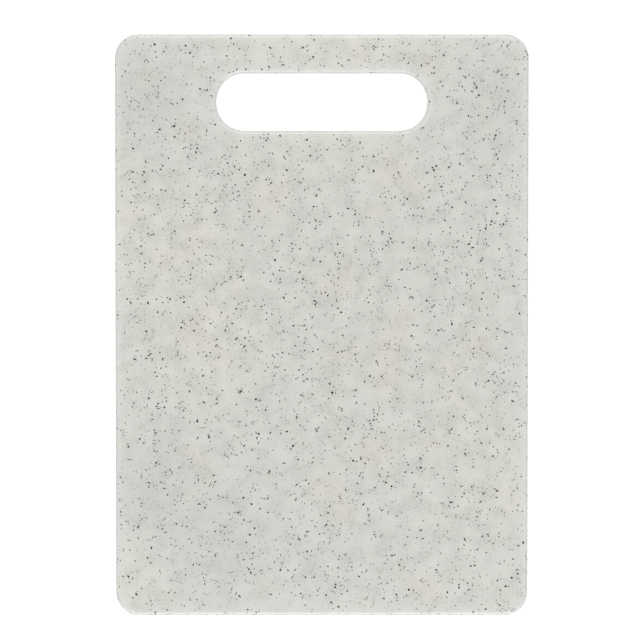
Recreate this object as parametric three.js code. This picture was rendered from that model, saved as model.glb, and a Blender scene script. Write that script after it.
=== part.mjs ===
// Plastic cutting board: one moulded slab with a finger slot through its handle end.
// Millimetres, +Z up. The board lies flat on its underside, with the origin under the middle
// of its outline and the handle end towards +Y.
import * as THREE from "three";

// Slab
const BOARD_WIDTH = 254;
const BOARD_LENGTH = 358;
const BOARD_THICKNESS = 9;
const CORNER_RADIUS = 14.5;

// Round run along every edge, on the outline and on the slot, above and below
const EDGE_RADIUS = 2.5;

// Finger slot across the board, with full round ends
const SLOT_LENGTH = 130;
const SLOT_WIDTH = 35;

// Bar left between the slot and the handle end
const GRIP_BAR_WIDTH = 24;

// Fineness of the curves, counted per quarter turn
const OUTLINE_STEPS = 12;
const EDGE_STEPS = 6;

// Speckled pale grey plastic with a satin face
const BOARD_COLOUR = 0xced0c9;
const BOARD_ROUGHNESS = 0.5;
const BOARD_METALNESS = 0;

const QUARTER_TURN = Math.PI / 2;
// An arc of a shape is cut into two steps for each curve segment asked for
const STEPS_PER_CURVE_SEGMENT = 2;

// Adds a rounded rectangle to a path, anticlockwise, its corners joined by straight sides
function traceRoundedRectangle(path, centreY, sizeX, sizeY, radius) {
  const cornerX = sizeX / 2 - radius;
  const cornerY = sizeY / 2 - radius;
  const corners = [
    [cornerX, cornerY],
    [-cornerX, cornerY],
    [-cornerX, -cornerY],
    [cornerX, -cornerY],
  ];
  corners.forEach(([x, y], quarter) => {
    const startAngle = quarter * QUARTER_TURN;
    path.absarc(x, centreY + y, radius, startAngle, startAngle + QUARTER_TURN, false);
  });
  path.closePath();
  return path;
}

function buildOutline() {
  const slotCentreY = BOARD_LENGTH / 2 - GRIP_BAR_WIDTH - SLOT_WIDTH / 2;
  const outline = traceRoundedRectangle(new THREE.Shape(), 0, BOARD_WIDTH, BOARD_LENGTH, CORNER_RADIUS);
  const slot = traceRoundedRectangle(new THREE.Path(), slotCentreY, SLOT_LENGTH, SLOT_WIDTH, SLOT_WIDTH / 2);
  outline.holes.push(slot);
  return outline;
}

// The outline is the board at its widest, so the edge rounds are taken inwards from it
function buildSlab() {
  const slab = new THREE.ExtrudeGeometry(buildOutline(), {
    depth: BOARD_THICKNESS - 2 * EDGE_RADIUS,
    curveSegments: OUTLINE_STEPS / STEPS_PER_CURVE_SEGMENT,
    bevelEnabled: true,
    bevelThickness: EDGE_RADIUS,
    bevelSize: EDGE_RADIUS,
    bevelOffset: -EDGE_RADIUS,
    bevelSegments: EDGE_STEPS,
  });
  slab.translate(0, 0, EDGE_RADIUS);
  return slab;
}

const boardMaterial = new THREE.MeshStandardMaterial({
  color: BOARD_COLOUR,
  roughness: BOARD_ROUGHNESS,
  metalness: BOARD_METALNESS,
});

const board = new THREE.Mesh(buildSlab(), boardMaterial);
board.name = "board";

const cuttingBoard = new THREE.Group();
cuttingBoard.name = "cutting_board";
cuttingBoard.add(board);

export default cuttingBoard;
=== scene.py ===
"""A speckled plastic cutting board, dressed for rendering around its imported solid.

The board is one moulding: a flat slab with rounded edges and a finger slot through its handle
end. Flakes of stone colour lie in the plastic. The coarse ones break the skin and are modelled
one by one, and the fine ones are drawn in the plastic's own material. Everything is in metres,
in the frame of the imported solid.
"""

import logging
import math
from dataclasses import dataclass
from enum import Enum
from typing import Iterator

import bpy
import numpy as np
from mathutils import Matrix, Vector


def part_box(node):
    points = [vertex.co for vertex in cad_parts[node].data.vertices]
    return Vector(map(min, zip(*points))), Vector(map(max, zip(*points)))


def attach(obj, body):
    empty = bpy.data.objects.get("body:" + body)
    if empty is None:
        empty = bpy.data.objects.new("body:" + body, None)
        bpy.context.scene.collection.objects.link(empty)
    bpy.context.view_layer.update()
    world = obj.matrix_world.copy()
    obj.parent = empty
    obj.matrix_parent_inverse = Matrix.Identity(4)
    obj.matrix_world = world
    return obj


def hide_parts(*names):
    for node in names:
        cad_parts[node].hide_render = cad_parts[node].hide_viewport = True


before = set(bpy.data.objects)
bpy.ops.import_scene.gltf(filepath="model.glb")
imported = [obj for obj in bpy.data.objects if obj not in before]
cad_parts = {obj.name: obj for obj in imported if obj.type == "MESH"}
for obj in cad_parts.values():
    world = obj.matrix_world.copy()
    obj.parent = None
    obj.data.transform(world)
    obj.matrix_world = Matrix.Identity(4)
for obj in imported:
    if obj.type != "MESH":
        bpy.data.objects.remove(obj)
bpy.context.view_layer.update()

LOG = logging.getLogger("cutting_board")
BOARD_NODE = "board"
BODY = "root"
RIM_LAYER = "rim"
TONE_LAYER = "tone"
BAKE_MAP = "OFBake"

# Length below which a direction can't be worked out
LEAST_LENGTH = 1e-12

# Places of a mix node's colour sockets, whose names its number sockets have too
MIX_SHARE, MIX_BELOW, MIX_ABOVE, MIX_RESULT = 0, 6, 7, 2

Colour = tuple[float, float, float]
# Readings at which something starts and ends
Span = tuple[float, float]
# Points and their outward directions, one row each
Ring = tuple[np.ndarray, np.ndarray]


class Face(Enum):
    """The board's two flat faces, by the way they look along Z."""

    UPPER = 1.0
    UNDER = -1.0


class Rim(Enum):
    """The two loops that bound the plastic, by the side on which it is free."""

    OUTLINE = 1.0
    SLOT = -1.0


class FlakeTone(Enum):
    """The colours that flakes come in: band on the flake palette and share of all flakes."""

    BLACK = (0.125, 0.72)
    SLATE = (0.375, 0.18)
    ASH = (0.625, 0.06)
    UMBER = (0.875, 0.04)

    @property
    def band(self) -> float:
        """Middle of the tone's band across the palette."""
        return self.value[0]

    @property
    def share(self) -> float:
        """Share of the flakes that have this tone."""
        return self.value[1]


class NodeSheet:
    """A node tree that starts empty, with short ways to add and join its nodes."""

    def __init__(self, tree: bpy.types.NodeTree) -> None:
        """Empties the tree.

        Args:
            tree: the node tree of a material or of the world.
        """
        self.tree = tree
        self.tree.nodes.clear()

    def add(self, kind: str, **settings: object) -> bpy.types.Node:
        """Adds a node.

        Args:
            kind: Blender's name for the node's type.
            settings: attributes of the node.

        Returns:
            The new node.
        """
        node = self.tree.nodes.new(kind)
        for name, value in settings.items():
            setattr(node, name, value)
        return node

    def feed(self, socket: bpy.types.NodeSocket, value: object) -> None:
        """Sets an input, or joins it to another node's output.

        Args:
            socket: the input.
            value: an output socket, a number, or the numbers of a colour or vector.
        """
        if isinstance(value, bpy.types.NodeSocket):
            self.tree.links.new(value, socket)
        elif socket.type == "RGBA":
            socket.default_value = (*value, 1.0)
        else:
            socket.default_value = value

    def maths(self, operation: str, first: object, second: object) -> bpy.types.NodeSocket:
        """Joins two numbers by an operation.

        Args:
            operation: Blender's name for it.
            first: output socket or number.
            second: output socket or number.

        Returns:
            The result's socket.
        """
        node = self.add("ShaderNodeMath", operation=operation)
        self.feed(node.inputs[0], first)
        self.feed(node.inputs[1], second)
        return node.outputs[0]

    def ease(self, value: object, start: float, end: float,
             low: float = 0.0, high: float = 1.0) -> bpy.types.NodeSocket:
        """Takes a number smoothly from one level to another.

        Args:
            value: output socket to read.
            start: reading at which the result is low.
            end: reading at which the result is high.
            low: result at the start.
            high: result at the end.

        Returns:
            The result's socket.
        """
        node = self.add("ShaderNodeMapRange", interpolation_type="SMOOTHSTEP")
        for place, number in enumerate((value, start, end, low, high)):
            self.feed(node.inputs[place], number)
        return node.outputs["Result"]

    def mix(self, share: object, below: object, above: object) -> bpy.types.NodeSocket:
        """Lays one colour over another.

        Args:
            share: output socket or number, how much of the upper colour shows.
            below: lower colour.
            above: upper colour.

        Returns:
            The mixed colour's socket.
        """
        node = self.add("ShaderNodeMix", data_type="RGBA")
        self.feed(node.inputs[MIX_SHARE], share)
        self.feed(node.inputs[MIX_BELOW], below)
        self.feed(node.inputs[MIX_ABOVE], above)
        return node.outputs[MIX_RESULT]

    def layer(self, name: str) -> bpy.types.NodeSocket:
        """Reads a number that is stored on the mesh's points.

        Args:
            name: the mesh layer's name.

        Returns:
            The number's socket.
        """
        return self.add("ShaderNodeAttribute", attribute_name=name).outputs["Fac"]

    def noise(self, where: bpy.types.NodeSocket, grain: float, detail: float) -> bpy.types.Node:
        """Adds a cloudy noise.

        Args:
            where: coordinates to read.
            grain: size of its patches, in the coordinates' unit.
            detail: how many finer layers it has.

        Returns:
            The noise node.
        """
        node = self.add("ShaderNodeTexNoise")
        self.feed(node.inputs["Vector"], where)
        self.feed(node.inputs["Scale"], 1.0 / grain)
        self.feed(node.inputs["Detail"], detail)
        return node

    def cells(self, where: bpy.types.NodeSocket, pitch: float) -> bpy.types.Node:
        """Adds scattered points, with the distance to the nearest and its own random colour.

        Args:
            where: coordinates to read.
            pitch: spacing of the points, in the coordinates' unit.

        Returns:
            The Voronoi node. Its distances are shares of the pitch.
        """
        node = self.add("ShaderNodeTexVoronoi")
        self.feed(node.inputs["Vector"], where)
        self.feed(node.inputs["Scale"], 1.0 / pitch)
        return node


@dataclass(frozen=True)
class SpeckledPlastic:
    """Pale grey satin plastic, cloudy and slightly see-through, with fine flakes in it."""

    # Colours, from the plain plastic to the flakes
    body: Colour = (0.656, 0.662, 0.616)
    # The next two colours are painted on broad zones: paler and warmer where their tone is
    # positive, darker and cooler where it is negative; some zones are painted glow and shade
    paler_zone: Colour = (0.694, 0.687, 0.628)
    darker_zone: Colour = (0.606, 0.617, 0.584)
    warm: Colour = (0.688, 0.646, 0.586)
    cool: Colour = (0.507, 0.512, 0.473)
    # The next two colours are painted glow: paler along the rim and brighter at the edge itself,
    # where light shines through the translucent plastic
    skin: Colour = (0.708, 0.709, 0.669)
    edge: Colour = (0.742, 0.749, 0.734)
    fleck: Colour = (0.045, 0.045, 0.040)
    haze: Colour = (0.300, 0.305, 0.285)

    # Warm patches and grey clouds: size, noise layers, strength and readings of the noise
    warm_grain: float = 0.030
    warm_detail: float = 2.0
    warm_share: float = 0.80
    warm_span: Span = (0.52, 0.78)
    cool_grain: float = 0.0105
    cool_detail: float = 5.0
    cool_share: float = 0.55
    cool_span: Span = (0.25, 0.75)

    # Fine flakes: spacing, radii as shares of it, share that shows outside and inside a cloud
    fleck_pitch: float = 0.00055
    fleck_least: float = 0.12
    fleck_largest: float = 0.48
    fleck_sparse: float = 0.015
    fleck_dense: float = 0.165
    fleck_span: Span = (0.43, 0.65)
    fleck_faintest: float = 0.4

    # Sunken flakes: spacing, radii as shares of it, strength and how it fades out of a cloud
    haze_pitch: float = 0.0027
    haze_reach: float = 0.44
    haze_middle: float = 0.02
    haze_share: float = 0.44
    haze_odds: Span = (0.2, 0.9)
    haze_span: Span = (0.35, 0.62)
    haze_clear: float = 0.45
    core_largest: float = 0.115
    core_odds: Span = (0.1, 1.0)

    # Ragged edges of what is drawn
    warp_grain: float = 0.00026
    warp_detail: float = 1.0
    warp_reach: float = 0.00040

    # Painted glow along the rim, for light shining through the plastic there: how much of the paler
    # colour is painted, and the nearness at which it turns into the brighter colour painted at the
    # edge itself
    painted_glow_share: float = 0.80
    painted_edge_glow_span: Span = (0.40, 0.75)

    # Surface: gloss, grain of the mould, ripple of the moulding and light within the plastic
    roughness: float = 0.32
    roughness_swing: float = 0.05
    roughness_detail: float = 3.0
    roughness_span: Span = (0.3, 0.7)
    sheen: float = 0.60
    satin_grain: float = 0.00035
    satin_depth: float = 0.000012
    ripple_grain: float = 0.006
    ripple_depth: float = 0.00003
    relief_detail: float = 2.0
    glow: float = 0.2
    glow_depth: float = 0.0035
    glow_spread: Colour = (1.0, 0.95, 0.8)

    def material(self) -> bpy.types.Material:
        """Builds the material.

        Returns:
            The new material.
        """
        made = bpy.data.materials.new("speckled_plastic")
        made.use_nodes = True
        sheet = NodeSheet(made.node_tree)
        where = sheet.add("ShaderNodeTexCoord").outputs["Object"]
        shader = sheet.add("ShaderNodeBsdfPrincipled")
        sheet.feed(shader.inputs["Base Color"], self.colour(sheet, where))
        sheet.feed(shader.inputs["Roughness"], self.gloss(sheet, where))
        sheet.feed(shader.inputs["Normal"], self.relief(sheet, where))
        sheet.feed(shader.inputs["Specular IOR Level"], self.sheen)
        sheet.feed(shader.inputs["Subsurface Weight"], self.glow)
        sheet.feed(shader.inputs["Subsurface Radius"], self.glow_spread)
        sheet.feed(shader.inputs["Subsurface Scale"], self.glow_depth)
        output = sheet.add("ShaderNodeOutputMaterial")
        sheet.feed(output.inputs["Surface"], shader.outputs["BSDF"])
        return made

    def colour(self, sheet: NodeSheet, where: bpy.types.NodeSocket) -> bpy.types.NodeSocket:
        """Draws the plastic, then the sunken flakes, the glow painted paler along the rim and the
        fine flakes over it.

        Args:
            sheet: the material's nodes.
            where: coordinates on the board.

        Returns:
            The colour's socket.
        """
        cloud = sheet.noise(where, self.cool_grain, self.cool_detail).outputs["Fac"]
        uneven = self.unevenly(sheet, where)
        smudge, core = self.sunken(sheet, uneven, cloud)
        flecks = sheet.maths("MAXIMUM", core, self.flecks(sheet, uneven, cloud))
        tint = sheet.mix(smudge, self.plastic(sheet, where, cloud), self.haze)
        # Painted glow: paler colour painted along the rim and brighter at the edge itself, for
        # light shining through the plastic there
        rim = sheet.layer(RIM_LAYER)
        skin = sheet.mix(sheet.ease(rim, *self.painted_edge_glow_span), self.skin, self.edge)
        tint = sheet.mix(sheet.maths("MULTIPLY", rim, self.painted_glow_share), tint, skin)
        return sheet.mix(flecks, tint, self.fleck)

    def plastic(self, sheet: NodeSheet, where: bpy.types.NodeSocket,
                cloud: bpy.types.NodeSocket) -> bpy.types.NodeSocket:
        """The plastic between the flakes: its broad zones painted paler and darker, warm patches
        and grey clouds.

        Args:
            sheet: the material's nodes.
            where: coordinates on the board.
            cloud: how deep a grey cloud is there.

        Returns:
            The colour's socket.
        """
        tone = sheet.layer(TONE_LAYER)
        warm = sheet.noise(where, self.warm_grain, self.warm_detail).outputs["Fac"]
        # Broad zones painted paler and darker, among them painted glow and shade
        tint = sheet.mix(sheet.ease(tone, 0.0, 1.0), self.body, self.paler_zone)
        tint = sheet.mix(sheet.ease(tone, 0.0, -1.0), tint, self.darker_zone)
        tint = sheet.mix(sheet.ease(warm, *self.warm_span, 0.0, self.warm_share), tint, self.warm)
        return sheet.mix(sheet.ease(cloud, *self.cool_span, 0.0, self.cool_share), tint, self.cool)

    def unevenly(self, sheet: NodeSheet, where: bpy.types.NodeSocket) -> bpy.types.NodeSocket:
        """Stirs the coordinates a little, so that what is drawn by them has ragged edges.

        Args:
            sheet: the material's nodes.
            where: coordinates on the board.

        Returns:
            The socket of the stirred coordinates.
        """
        stir = sheet.noise(where, self.warp_grain, self.warp_detail).outputs["Color"]
        warp = sheet.add("ShaderNodeVectorMath", operation="MULTIPLY_ADD")
        sheet.feed(warp.inputs[0], stir)
        sheet.feed(warp.inputs[1], (self.warp_reach,) * 3)
        sheet.feed(warp.inputs[2], where)
        return warp.outputs[0]

    def sunken(self, sheet: NodeSheet, where: bpy.types.NodeSocket,
               cloud: bpy.types.NodeSocket) -> tuple[bpy.types.NodeSocket, bpy.types.NodeSocket]:
        """Flakes that lie under the skin: a soft smudge, with a crisp core in most.

        Args:
            sheet: the material's nodes.
            where: coordinates on the board.
            cloud: how deep a grey cloud is there.

        Returns:
            The sockets of the smudges' and of the cores' strength.
        """
        cells = sheet.cells(where, self.haze_pitch)
        own = sheet.add("ShaderNodeSeparateColor")
        sheet.feed(own.inputs[0], cells.outputs["Color"])
        away = cells.outputs["Distance"]
        near = sheet.ease(away, self.haze_reach, self.haze_middle, 0.0, self.haze_share)
        depth = sheet.maths("MULTIPLY", near, sheet.ease(own.outputs[0], *self.haze_odds))
        clouded = sheet.ease(cloud, *self.haze_span, self.haze_clear, 1.0)
        smudge = sheet.maths("MULTIPLY", depth, clouded)
        size = sheet.ease(own.outputs[0], *self.core_odds, 0.0, self.core_largest)
        return smudge, sheet.maths("LESS_THAN", away, size)

    def flecks(self, sheet: NodeSheet, where: bpy.types.NodeSocket,
               cloud: bpy.types.NodeSocket) -> bpy.types.NodeSocket:
        """Fine crisp flakes, each of its own size and depth of colour, closer in the clouds.

        Args:
            sheet: the material's nodes.
            where: coordinates on the board.
            cloud: how deep a grey cloud is there.

        Returns:
            The socket of their strength.
        """
        cells = sheet.cells(where, self.fleck_pitch)
        own = sheet.add("ShaderNodeSeparateColor")
        sheet.feed(own.inputs[0], cells.outputs["Color"])
        size = sheet.ease(own.outputs[1], 0.0, 1.0, self.fleck_least, self.fleck_largest)
        inside = sheet.maths("LESS_THAN", cells.outputs["Distance"], size)
        share = sheet.ease(cloud, *self.fleck_span, self.fleck_sparse, self.fleck_dense)
        shown = sheet.maths("LESS_THAN", own.outputs[0], share)
        depth = sheet.ease(own.outputs[2], 0.0, 1.0, self.fleck_faintest, 1.0)
        return sheet.maths("MULTIPLY", sheet.maths("MULTIPLY", inside, depth), shown)

    def gloss(self, sheet: NodeSheet, where: bpy.types.NodeSocket) -> bpy.types.NodeSocket:
        """Roughness with a faint cloudiness.

        Args:
            sheet: the material's nodes.
            where: coordinates on the board.

        Returns:
            The roughness's socket.
        """
        cloud = sheet.noise(where, self.ripple_grain, self.roughness_detail).outputs["Fac"]
        least = self.roughness - self.roughness_swing
        most = self.roughness + self.roughness_swing
        return sheet.ease(cloud, *self.roughness_span, least, most)

    def relief(self, sheet: NodeSheet, where: bpy.types.NodeSocket) -> bpy.types.NodeSocket:
        """The satin grain of the mould and a faint ripple of the moulding.

        Args:
            sheet: the material's nodes.
            where: coordinates on the board.

        Returns:
            The normal's socket.
        """
        normal = None
        for grain, depth in ((self.ripple_grain, self.ripple_depth),
                             (self.satin_grain, self.satin_depth)):
            height = sheet.noise(where, grain, self.relief_detail).outputs["Fac"]
            bump = sheet.add("ShaderNodeBump")
            sheet.feed(bump.inputs["Distance"], depth)
            sheet.feed(bump.inputs["Height"], height)
            if normal is not None:
                sheet.feed(bump.inputs["Normal"], normal)
            normal = bump.outputs["Normal"]
        return normal


@dataclass(frozen=True)
class FlakeFinish:
    """Stone-coloured flakes, each a patch of one palette that is laid across their map."""

    black: Colour = (0.013, 0.013, 0.010)
    slate: Colour = (0.074, 0.074, 0.061)
    ash: Colour = (0.230, 0.232, 0.215)
    umber: Colour = (0.105, 0.082, 0.054)
    roughness: float = 0.50
    sheen: float = 0.15
    mottle_grain: float = 0.02
    mottle_detail: float = 2.0
    mottle_span: Span = (0.3, 0.7)
    mottle_least: float = 0.7
    mottle_most: float = 1.35

    def tones(self) -> list[tuple[FlakeTone, Colour]]:
        """Each tone with its colour, in the order of the palette."""
        return list(zip(FlakeTone, (self.black, self.slate, self.ash, self.umber)))

    def material(self) -> bpy.types.Material:
        """Builds the material.

        Returns:
            The new material.
        """
        made = bpy.data.materials.new("stone_flakes")
        made.use_nodes = True
        sheet = NodeSheet(made.node_tree)
        place = sheet.add("ShaderNodeUVMap", uv_map=BAKE_MAP).outputs["UV"]
        across = sheet.add("ShaderNodeSeparateXYZ")
        sheet.feed(across.inputs[0], place)
        palette = sheet.add("ShaderNodeValToRGB")
        palette.color_ramp.interpolation = "CONSTANT"
        half_band = 0.5 / len(FlakeTone)
        stops = palette.color_ramp.elements
        for count, (tone, colour) in enumerate(self.tones()):
            stop = stops[0] if count == 0 else stops.new(tone.band - half_band)
            stop.position = tone.band - half_band
            stop.color = (*colour, 1.0)
        stops.remove(stops[-1])
        sheet.feed(palette.inputs["Fac"], across.outputs["X"])
        mottle = sheet.noise(place, self.mottle_grain, self.mottle_detail).outputs["Fac"]
        depth = sheet.add("ShaderNodeHueSaturation")
        sheet.feed(depth.inputs["Color"], palette.outputs["Color"])
        sheet.feed(depth.inputs["Value"],
                   sheet.ease(mottle, *self.mottle_span, self.mottle_least, self.mottle_most))
        shader = sheet.add("ShaderNodeBsdfPrincipled")
        sheet.feed(shader.inputs["Base Color"], depth.outputs["Color"])
        sheet.feed(shader.inputs["Roughness"], self.roughness)
        sheet.feed(shader.inputs["Specular IOR Level"], self.sheen)
        output = sheet.add("ShaderNodeOutputMaterial")
        sheet.feed(output.inputs["Surface"], shader.outputs["BSDF"])
        return made


@dataclass(frozen=True)
class RoundedLoop:
    """A closed loop of straight sides and round corners, seen from above.

    Its points run clockwise from the middle of the side that is nearest the handle end. The
    steps are counted down its right half: handle side, corner, long side, corner, far side.
    """

    centre_y: float
    half_x: float
    half_y: float
    radius: float
    steps: tuple[int, int, int, int, int]

    def ring(self, grow: float) -> Ring:
        """The loop moved outwards.

        Args:
            grow: distance, negative for inwards.

        Returns:
            Its points and their outward directions, one row each.
        """
        places, ways = self.right_half()
        places = np.vstack([places, [(0.0, -self.half_y)], places[:0:-1] * (-1.0, 1.0)])
        ways = np.vstack([ways, [(0.0, -1.0)], ways[:0:-1] * (-1.0, 1.0)])
        return places + grow * ways + (0.0, self.centre_y), ways

    def right_half(self) -> Ring:
        """The right half about the loop's own centre.

        Returns:
            Its points, down to the one before the middle of the far side, and their directions.
        """
        reach_x, reach_y = self.half_x - self.radius, self.half_y - self.radius
        quarter = math.pi / 2.0
        runs = (
            ((0.0, reach_y), (reach_x, reach_y), quarter, quarter),
            ((reach_x, reach_y), (reach_x, reach_y), quarter, 0.0),
            ((reach_x, reach_y), (reach_x, -reach_y), 0.0, 0.0),
            ((reach_x, -reach_y), (reach_x, -reach_y), 0.0, -quarter),
            ((reach_x, -reach_y), (0.0, -reach_y), -quarter, -quarter),
        )
        places, ways = [], []
        for (start, end, turn_from, turn_to), count in zip(runs, self.steps):
            along = np.linspace(0.0, 1.0, count, endpoint=False)[:, None]
            angle = turn_from + (turn_to - turn_from) * along[:, 0]
            way = np.stack([np.cos(angle), np.sin(angle)], axis=1)
            ways.append(way)
            centre = np.array(start) * (1.0 - along) + np.array(end) * along
            places.append(centre + self.radius * way)
        return np.vstack(places), np.vstack(ways)

    def distance(self, places: np.ndarray) -> tuple[np.ndarray, np.ndarray]:
        """How far points lie outside the loop.

        Args:
            places: points seen from above, one row each.

        Returns:
            Each distance, negative inside, and the outward direction there.
        """
        local = places - (0.0, self.centre_y)
        sign = np.where(local < 0.0, -1.0, 1.0)
        past = np.abs(local) - (self.half_x - self.radius, self.half_y - self.radius)
        outside = np.maximum(past, 0.0)
        length = np.linalg.norm(outside, axis=1)
        far = length + np.minimum(past.max(axis=1), 0.0) - self.radius
        nearest_side = past == past.max(axis=1, keepdims=True)
        at_corner = (length > 0.0)[:, None]
        round_way = outside / np.maximum(length, LEAST_LENGTH)[:, None]
        way = np.where(at_corner, round_way, nearest_side)
        return far, way * sign


@dataclass(frozen=True)
class Zone:
    """A broad zone painted paler and warmer, and darker and cooler where its tone is negative; some
    zones are painted light and shade.
    """

    x: float
    y: float
    tone: float
    spread: float = 0.034

    def over(self, places: np.ndarray) -> np.ndarray:
        """The zone's tone at points, one row each, falling softly from its middle."""
        away = np.linalg.norm(places[:, :2] - (self.x, self.y), axis=1) / self.spread
        return self.tone * np.exp(-away ** 2)


@dataclass
class BoardSlab:
    """The moulded slab, a closed mesh of quads swept round the slot without a seam."""

    width: float
    length: float
    thickness: float
    corner_radius: float = 0.0145
    edge_radius: float = 0.0025
    slot_length: float = 0.130
    slot_width: float = 0.035
    grip_bar: float = 0.024
    outline_steps: tuple[int, int, int, int, int] = (12, 10, 34, 10, 10)
    slot_steps: tuple[int, int, int, int, int] = (12, 14, 0, 14, 36)
    edge_steps: int = 8
    wall_steps: int = 2
    face_steps: int = 14
    # Rings close to the rim, and how far from the edges the painted glow and the thinning of flakes
    # reach
    rim_bands: tuple[float, ...] = (0.0015, 0.0040, 0.0075)
    rim_reach: float = 0.0052
    # Broad painted zones. The one over the grip bar is a painted glow of light through the thin
    # bar, and the one low in the middle is painted shade over the part the front lamp lights most;
    # the rest paint the plastic paler and darker in broad patches.
    zones: tuple[Zone, ...] = (
        Zone(-0.100, 0.055, 1.1),
        Zone(-0.072, -0.015, 0.9),
        Zone(0.000, 0.167, 1.1, 0.060),
        Zone(0.105, -0.090, 0.6),
        Zone(-0.125, -0.150, 1.5, 0.022),
        Zone(-0.108, 0.139, -0.9),
        Zone(0.110, 0.136, -0.9),
        Zone(-0.102, -0.100, -1.1),
        Zone(-0.060, -0.138, -0.8),
        Zone(0.015, -0.130, -0.4, 0.055),
    )
    finish: SpeckledPlastic = SpeckledPlastic()

    @classmethod
    def from_frame(cls) -> "BoardSlab":
        """Takes the slab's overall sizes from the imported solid."""
        low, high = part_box(BOARD_NODE)
        return cls(*(high - low))

    @property
    def outline(self) -> RoundedLoop:
        """The board's outline at its widest."""
        return RoundedLoop(0.0, self.width / 2.0, self.length / 2.0, self.corner_radius,
                           self.outline_steps)

    @property
    def slot(self) -> RoundedLoop:
        """The finger slot at its narrowest."""
        half_width = self.slot_width / 2.0
        centre_y = self.length / 2.0 - self.grip_bar - half_width
        return RoundedLoop(centre_y, self.slot_length / 2.0, half_width, half_width,
                           self.slot_steps)

    def section(self, ring: Ring, rim: Rim, face: Face, lean: float, height: float) -> Ring:
        """Lifts a ring into place.

        Args:
            ring: points and directions seen from above.
            rim: the loop that the ring follows.
            face: the flat face that the ring is nearest.
            lean: angle of the skin there, 0 on the flat and a quarter turn on the wall.
            height: distance of the ring from the slab's middle plane.

        Returns:
            Points and outward normals in space.
        """
        places, ways = ring
        level = np.full(len(places), self.thickness / 2.0 + face.value * height)
        outward = ways * rim.value * math.sin(lean)
        upward = np.full(len(places), face.value * math.cos(lean))
        return np.column_stack([places, level]), np.column_stack([outward, upward])

    def rounded_edge(self, loop: RoundedLoop, rim: Rim, face: Face) -> list[Ring]:
        """The rounded edge between a face and a wall.

        Args:
            loop: the loop that it runs along.
            rim: which loop that is.
            face: which face it leaves.

        Returns:
            Its sections from the wall to just short of the face.
        """
        sections = []
        for step in range(self.edge_steps):
            lean = math.pi / 2.0 * (1.0 - step / self.edge_steps)
            inset = self.edge_radius * (1.0 - math.sin(lean))
            height = self.thickness / 2.0 - self.edge_radius * (1.0 - math.cos(lean))
            sections.append(self.section(loop.ring(-rim.value * inset), rim, face, lean, height))
        return sections

    def flat_face(self, face: Face) -> list[Ring]:
        """A flat face, as rings from the slot out to the outline.

        Args:
            face: which face.

        Returns:
            Its sections, both edges included.
        """
        bands = [self.edge_radius, *(self.edge_radius + band for band in self.rim_bands)]
        inner = [self.slot.ring(band) for band in bands]
        outer = [self.outline.ring(-band) for band in reversed(bands)]
        between = []
        for step in range(1, self.face_steps):
            share = step / self.face_steps
            places = inner[-1][0] * (1.0 - share) + outer[0][0] * share
            between.append((places, outer[0][1]))
        rings = inner + between + outer
        return [self.section(ring, Rim.OUTLINE, face, 0.0, self.thickness / 2.0) for ring in rings]

    def wall(self, loop: RoundedLoop, rim: Rim) -> list[Ring]:
        """The upright middle of a wall, between its two rounded edges.

        Args:
            loop: the loop that it runs along.
            rim: which loop that is.

        Returns:
            Its sections from below to above, without the edges' own.
        """
        reach = self.thickness / 2.0 - self.edge_radius
        heights = np.linspace(-reach, reach, self.wall_steps + 1)[1:-1]
        ring = loop.ring(0.0)
        return [self.section(ring, rim, Face.UPPER, math.pi / 2.0, height) for height in heights]

    def sections(self) -> Ring:
        """All sections in order, up the slot, out over the top, down and back underneath.

        Returns:
            Points and normals, by section and by place round it.
        """
        slot, outline = self.slot, self.outline
        runs = (
            self.wall(slot, Rim.SLOT),
            self.rounded_edge(slot, Rim.SLOT, Face.UPPER),
            self.flat_face(Face.UPPER),
            self.rounded_edge(outline, Rim.OUTLINE, Face.UPPER)[::-1],
            self.wall(outline, Rim.OUTLINE)[::-1],
            self.rounded_edge(outline, Rim.OUTLINE, Face.UNDER),
            self.flat_face(Face.UNDER)[::-1],
            self.rounded_edge(slot, Rim.SLOT, Face.UNDER)[::-1],
        )
        sections = [section for run in runs for section in run]
        return (np.array([section[0] for section in sections]),
                np.array([section[1] for section in sections]))

    def rim_nearness(self, places: np.ndarray) -> np.ndarray:
        """How near points lie to the outline and the slot, where a glow of light through the
        plastic is painted paler and fewer flakes lie.

        Args:
            places: points on the skin, one row each.

        Returns:
            1 at an edge, falling to 0 away from both.
        """
        seen = places[:, :2]
        inside = -self.outline.distance(seen)[0]
        beyond = self.slot.distance(seen)[0]
        near = sum(np.exp(-np.maximum(gap, 0.0) / self.rim_reach) for gap in (inside, beyond))
        return np.minimum(near, 1.0)

    @staticmethod
    def quad_corners(grid: np.ndarray) -> list[np.ndarray]:
        """The corners of each quad in a grid that closes on itself both ways.

        Args:
            grid: points or their numbers, by section and by place round it.

        Returns:
            First, second, third and fourth corners, each laid out as the grid.
        """
        beside, above = np.roll(grid, -1, axis=1), np.roll(grid, -1, axis=0)
        return [grid, beside, np.roll(beside, -1, axis=0), above]

    def triangles(self) -> np.ndarray:
        """The skin as triangles, for scattering things evenly over it.

        Returns:
            The three corners of each.
        """
        here, beside, across, above = self.quad_corners(self.sections()[0])
        first = np.stack([here, beside, across], axis=2)
        second = np.stack([here, across, above], axis=2)
        return np.concatenate([first.reshape(-1, 3, 3), second.reshape(-1, 3, 3)])

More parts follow.
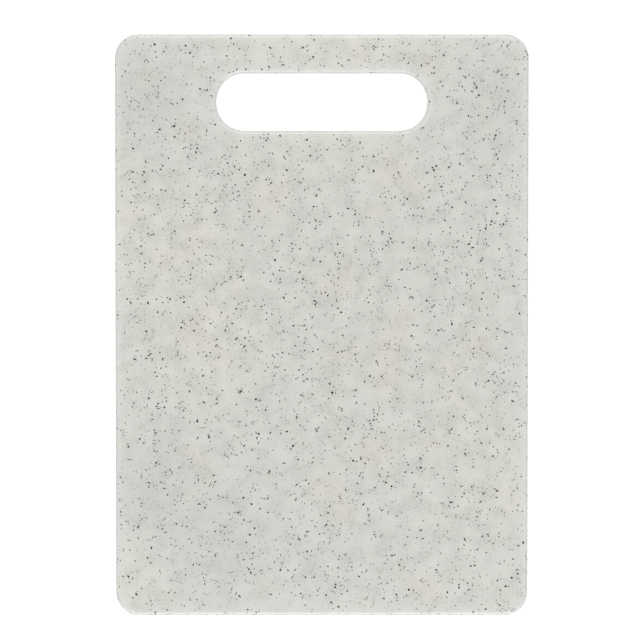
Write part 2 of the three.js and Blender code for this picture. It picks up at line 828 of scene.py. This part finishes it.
    def settle(self, places: np.ndarray, lift: float) -> Ring:
        """Moves points onto the skin.

        Args:
            places: points close to the skin, one row each.
            lift: height above the skin at which they end.

        Returns:
            The moved points and the skin's normals there.
        """
        out, out_way = self.outline.distance(places[:, :2])
        hole, hole_way = self.slot.distance(places[:, :2])
        by_outline = out > -hole
        side = np.where(by_outline, out, -hole) + self.edge_radius
        way = np.where(by_outline[:, None], out_way, -hole_way)
        middle = self.thickness / 2.0
        level = places[:, 2] - middle
        rise = np.abs(level) - (middle - self.edge_radius)
        past = np.maximum(np.column_stack([side, rise]), 0.0)
        length = np.maximum(np.linalg.norm(past, axis=1), LEAST_LENGTH)[:, None]
        lean = past / length
        normals = np.column_stack([way * lean[:, :1], lean[:, 1] * np.sign(level)])
        return places + normals * (self.edge_radius + lift - length), normals

    def build(self) -> bpy.types.Object:
        """Makes the slab and dresses it.

        Returns:
            The slab.
        """
        places, normals = self.sections()
        skin = places.reshape(-1, 3)
        numbers = np.arange(len(skin)).reshape(places.shape[:2])
        quads = np.stack(self.quad_corners(numbers), axis=2).reshape(-1, 4)
        piece = make_piece("board_slab", skin, quads, normals.reshape(-1, 3))
        tone = sum(zone.over(skin) for zone in self.zones)
        for name, values in ((RIM_LAYER, self.rim_nearness(skin)), (TONE_LAYER, tone)):
            layer = piece.data.attributes.new(name, "FLOAT", "POINT")
            layer.data.foreach_set("value", values.astype(np.float32))
        piece.data.materials.append(self.finish.material())
        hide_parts(BOARD_NODE)
        return piece


@dataclass
class FlakeBed:
    """The coarse flakes that break the board's skin, each a thin closed chip set into it."""

    slab: BoardSlab
    seed: int = 7
    per_area: float = 8.0e4
    middle_size: float = 0.00062
    size_spread: float = 0.37
    coarse_from: float = 0.00060
    largest: float = 0.00140
    grouped: float = 0.30
    group_reach: float = 0.0017
    rim_thinning: float = 0.5
    longest: float = 2.1
    corners: int = 6
    corner_jitter: float = 0.22
    corner_wander: float = 0.3
    least_reach: float = 0.3
    level_from: float = 0.9
    ring_lift: float = 0.000010
    crown_lift: float = 0.000022
    sunk_share: float = 0.35
    band_half: float = 0.1
    patch: float = 0.003
    finish: FlakeFinish = FlakeFinish()

    def scatter(self, rng: np.random.Generator) -> tuple[np.ndarray, np.ndarray]:
        """Draws the coarse flakes' places and sizes.

        Args:
            rng: source of the draws.

        Returns:
            Points on the skin and flake diameters.
        """
        triangles = self.slab.triangles()
        first, second, third = triangles.transpose(1, 0, 2)
        areas = np.linalg.norm(np.cross(second - first, third - first), axis=1) / 2.0
        count = int(areas.sum() * self.per_area)
        sizes = np.exp(rng.normal(math.log(self.middle_size), self.size_spread, count))
        chosen = rng.choice(len(areas), count, p=areas / areas.sum())
        along, across = np.sqrt(rng.random(count))[:, None], rng.random(count)[:, None]
        places = (first[chosen] * (1.0 - along) + second[chosen] * along * (1.0 - across)
                  + third[chosen] * along * across)
        coarse = sizes > self.coarse_from
        places, sizes = self.gather(rng, places[coarse]), np.sort(sizes[coarse])
        kept = rng.random(len(places)) > self.rim_thinning * self.slab.rim_nearness(places)
        return places[kept], np.minimum(sizes[kept], self.largest)

    def gather(self, rng: np.random.Generator, places: np.ndarray) -> np.ndarray:
        """Moves the first flakes close to later ones, so that they lie in loose groups.

        Args:
            rng: source of the draws.
            places: points on the skin, one row each, in the order of the flakes' sizes.

        Returns:
            The places with some of them moved.
        """
        places = places.copy()
        count = int(len(places) * self.grouped)
        hosts = rng.integers(count, len(places), count)
        places[:count] = places[hosts] + rng.normal(0.0, self.group_reach, (count, 3))
        return self.slab.settle(places, 0.0)[0]

    def outlines(self, rng: np.random.Generator, places: np.ndarray, normals: np.ndarray,
                 sizes: np.ndarray) -> np.ndarray:
        """Draws each flake's uneven outline in the plane of the skin.

        Args:
            rng: source of the draws.
            places: middles of the flakes.
            normals: the skin's normals there.
            sizes: diameters of the flakes.

        Returns:
            Corners by flake and by place round it.
        """
        count = len(places)
        steep = np.abs(normals[:, 2:]) < self.level_from
        helper = np.where(steep, (0.0, 0.0, 1.0), (1.0, 0.0, 0.0))
        east = np.cross(helper, normals)
        east /= np.linalg.norm(east, axis=1)[:, None]
        north = np.cross(normals, east)
        stretch = np.sqrt(rng.uniform(1.0, self.longest, count))[:, None]
        step = 2.0 * math.pi / self.corners
        shape = (count, self.corners)
        wander = rng.uniform(-self.corner_wander, self.corner_wander, shape) * step
        angle = np.arange(self.corners) * step + wander
        swell = 1.0 + self.corner_jitter * rng.normal(size=shape)
        reach = sizes[:, None] / 2.0 * np.maximum(swell, self.least_reach)
        u, v = reach * np.cos(angle) * stretch, reach * np.sin(angle) / stretch
        turn = rng.uniform(0.0, 2.0 * math.pi, (count, 1))
        a, b = u * np.cos(turn) - v * np.sin(turn), u * np.sin(turn) + v * np.cos(turn)
        return places[:, None] + a[:, :, None] * east[:, None] + b[:, :, None] * north[:, None]

    def palette_places(self, rng: np.random.Generator, count: int) -> np.ndarray:
        """Gives each flake its patch of the palette.

        Args:
            rng: source of the draws.
            count: number of flakes.

        Returns:
            Map places by flake and by vertex: the corners, then the crown and the root.
        """
        tones = list(FlakeTone)
        chosen = rng.choice(len(tones), count, p=[tone.share for tone in tones])
        across = np.array([tone.band for tone in tones])[chosen]
        across = across + rng.uniform(-self.band_half, self.band_half, count)
        along = rng.uniform(self.patch, 1.0 - self.patch, count)
        angle = np.arange(self.corners) * 2.0 * math.pi / self.corners
        spots = np.zeros((count, self.corners + 2, 2))
        spots[:, :self.corners] = self.patch * np.column_stack([np.cos(angle), np.sin(angle)])
        return spots + np.column_stack([across, along])[:, None]

    def chip_faces(self, count: int) -> np.ndarray:
        """The faces of all chips, each a fan over its corners and a fan under them.

        Args:
            count: number of flakes.

        Returns:
            Vertex numbers of the triangles. Each chip has its corners, then a crown and a root.
        """
        here = np.arange(self.corners)
        after = np.roll(here, -1)
        crown, root = np.full_like(here, self.corners), np.full_like(here, self.corners + 1)
        chip = np.concatenate([np.column_stack([here, after, crown]),
                               np.column_stack([after, here, root])])
        first = np.arange(count)[:, None, None] * (self.corners + 2)
        return (chip[None] + first).reshape(-1, 3)

    def build(self) -> bpy.types.Object:
        """Makes the flakes as one piece and dresses them.

        Returns:
            The flakes.
        """
        rng = np.random.default_rng(self.seed)
        places, sizes = self.scatter(rng)
        count = len(places)
        crowns, normals = self.slab.settle(places, self.crown_lift)
        corners = self.outlines(rng, crowns, normals, sizes)
        ring, ring_normals = self.slab.settle(corners.reshape(-1, 3), self.ring_lift)
        roots = crowns - normals * (sizes * self.sunk_share)[:, None]
        vertices = np.concatenate(
            [ring.reshape(count, -1, 3), crowns[:, None], roots[:, None]], axis=1)
        shading = np.concatenate(
            [ring_normals.reshape(count, -1, 3), normals[:, None], -normals[:, None]], axis=1)
        faces = self.chip_faces(count)
        piece = make_piece("stone_flakes", vertices.reshape(-1, 3), faces, shading.reshape(-1, 3))
        spots = self.palette_places(rng, count).reshape(-1, 2)
        layer = piece.data.uv_layers.new(name=BAKE_MAP)
        layer.uv.foreach_set("vector", spots[faces.ravel()].astype(np.float32).ravel())
        piece.data.materials.append(self.finish.material())
        return piece


@dataclass(frozen=True)
class Lamp:
    """A soft rectangular lamp."""

    name: str
    place: tuple[float, float, float]
    size: tuple[float, float]
    power: float

    def hang(self, target: Vector) -> bpy.types.Object:
        """Hangs the lamp, facing a point.

        Args:
            target: the point.

        Returns:
            The lamp.
        """
        light = bpy.data.lights.new(self.name, "AREA")
        light.shape = "RECTANGLE"
        light.size, light.size_y = self.size
        light.energy = self.power
        lamp = bpy.data.objects.new(self.name, light)
        lamp.location = self.place
        way = target - Vector(self.place)
        lamp.rotation_euler = way.to_track_quat("-Z", "Y").to_euler()
        bpy.context.scene.collection.objects.link(lamp)
        return lamp


@dataclass(frozen=True)
class Studio:
    """The pale floor, the lamps, the white surround and the camera over the board."""

    slab: BoardSlab
    floor_half: float = 6.0
    floor_gap: float = 0.0002
    floor_colour: Colour = (0.80, 0.80, 0.80)
    near_lift: float = 0.52
    far_lift: float = 0.62
    near_reach: float = 0.5
    far_reach: float = 2.5
    surround: float = 0.34
    surround_colour: Colour = (1.0, 1.0, 1.0)
    white: float = 1.0
    view_width: float = 0.39335
    view_distance: float = 1.6
    view_tilt: float = math.radians(1.9)
    aim: tuple[float, float] = (-0.00108, 0.0037)
    sensor: float = 36.0
    lamps: tuple[Lamp, ...] = (
        Lamp("front_softbox", (0.0, -1.46, 1.07), (1.8, 0.40), 22.0),
        Lamp("rear_softbox", (0.0, 1.36, 1.23), (1.8, 0.6), 19.6),
    )

    def lay_floor(self) -> bpy.types.Object:
        """Lays the floor just under the board.

        Returns:
            The floor.
        """
        half = self.floor_half
        corners = [(-half, -half, 0.0), (half, -half, 0.0), (half, half, 0.0), (-half, half, 0.0)]
        mesh = bpy.data.meshes.new("floor")
        mesh.from_pydata(corners, [], [(0, 1, 2, 3)])
        floor = bpy.data.objects.new("floor", mesh)
        floor.location.z = -self.floor_gap
        bpy.context.scene.collection.objects.link(floor)
        mesh.materials.append(self.floor_paint())
        return floor

    def floor_paint(self) -> bpy.types.Material:
        """Builds the floor's material, a matt paint that is lifted to white where it is seen.

        Returns:
            The new material.
        """
        made = bpy.data.materials.new("pale_floor")
        made.use_nodes = True
        sheet = NodeSheet(made.node_tree)
        paint = sheet.add("ShaderNodeBsdfDiffuse")
        sheet.feed(paint.inputs["Color"], self.floor_colour)
        away = sheet.add("ShaderNodeVectorMath", operation="LENGTH")
        sheet.feed(away.inputs[0], sheet.add("ShaderNodeTexCoord").outputs["Object"])
        lift = sheet.add("ShaderNodeEmission")
        sheet.feed(lift.inputs["Strength"],
                   sheet.ease(away.outputs["Value"], self.near_reach, self.far_reach,
                              self.near_lift, self.far_lift))
        sight = sheet.add("ShaderNodeAddShader")
        sheet.feed(sight.inputs[0], paint.outputs[0])
        sheet.feed(sight.inputs[1], lift.outputs[0])
        choice = sheet.add("ShaderNodeMixShader")
        sheet.feed(choice.inputs[0], self.seen(sheet))
        sheet.feed(choice.inputs[1], paint.outputs[0])
        sheet.feed(choice.inputs[2], sight.outputs[0])
        output = sheet.add("ShaderNodeOutputMaterial")
        sheet.feed(output.inputs["Surface"], choice.outputs[0])
        return made

    def seen(self, sheet: NodeSheet) -> bpy.types.NodeSocket:
        """Tells the rays that show something from those that only carry light.

        Args:
            sheet: the nodes to add to.

        Returns:
            A socket that is 1 for camera, mirror and see-through rays.
        """
        path = sheet.add("ShaderNodeLightPath")
        shown = sheet.maths("MAXIMUM", path.outputs["Is Camera Ray"], path.outputs["Is Glossy Ray"])
        return sheet.maths("MAXIMUM", shown, path.outputs["Is Transmission Ray"])

    def set_surround(self) -> bpy.types.World:
        """Makes the surround white to look at and softer as a light.

        Returns:
            The world.
        """
        world = bpy.data.worlds.new("surround")
        world.use_nodes = True
        sheet = NodeSheet(world.node_tree)
        sky = sheet.add("ShaderNodeBackground")
        sheet.feed(sky.inputs["Color"], self.surround_colour)
        sheet.feed(sky.inputs["Strength"],
                   sheet.ease(self.seen(sheet), 0.0, 1.0, self.surround, self.white))
        output = sheet.add("ShaderNodeOutputWorld")
        sheet.feed(output.inputs["Surface"], sky.outputs[0])
        bpy.context.scene.world = world
        return world

    def set_camera(self) -> bpy.types.Object:
        """Sets the camera over the board, a little towards its handle end.

        Returns:
            The camera.
        """
        target = Vector((*self.aim, self.slab.thickness))
        back = Vector((0.0, math.sin(self.view_tilt), math.cos(self.view_tilt)))
        right = Vector((1.0, 0.0, 0.0))
        up = back.cross(right)
        lens = bpy.data.cameras.new("camera")
        lens.sensor_width = self.sensor
        lens.lens = self.sensor * self.view_distance / self.view_width
        camera = bpy.data.objects.new("camera", lens)
        turn = Matrix((right, up, back)).transposed().to_4x4()
        camera.matrix_world = Matrix.Translation(target + back * self.view_distance) @ turn
        bpy.context.scene.collection.objects.link(camera)
        bpy.context.scene.camera = camera
        return camera

    def build(self) -> Iterator[str]:
        """Sets everything up.

        Returns:
            The names of what was set up, one by one.
        """
        bpy.context.scene.view_settings.view_transform = "Standard"
        yield self.lay_floor().name
        yield self.set_surround().name
        for lamp in self.lamps:
            yield lamp.hang(Vector((0.0, 0.0, self.slab.thickness))).name
        yield self.set_camera().name


def make_piece(name: str, vertices: np.ndarray, faces: np.ndarray,
               normals: np.ndarray) -> bpy.types.Object:
    """Makes a smooth mesh piece that rides on the board.

    Args:
        name: the piece's name.
        vertices: points, one row each.
        faces: corner numbers, one row for each face.
        normals: shading normals of the points.

    Returns:
        The new piece.
    """
    mesh = bpy.data.meshes.new(name)
    mesh.from_pydata(vertices.tolist(), [], faces.tolist())
    mesh.polygons.foreach_set("use_smooth", [True] * len(mesh.polygons))
    mesh.normals_split_custom_set_from_vertices(normals.tolist())
    piece = bpy.data.objects.new(name, mesh)
    bpy.context.scene.collection.objects.link(piece)
    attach(piece, BODY)
    return piece


def main() -> None:
    """Builds the board and its studio in order."""
    logging.basicConfig(level=logging.INFO, format="%(name)s: %(message)s")
    slab = BoardSlab.from_frame()
    for sub_assembly in (slab, FlakeBed(slab)):
        piece = sub_assembly.build()
        LOG.info("%s: %d faces", piece.name, len(piece.data.polygons))
    for name in Studio(slab).build():
        LOG.info("%s set", name)


if __name__ == "__main__":
    main()
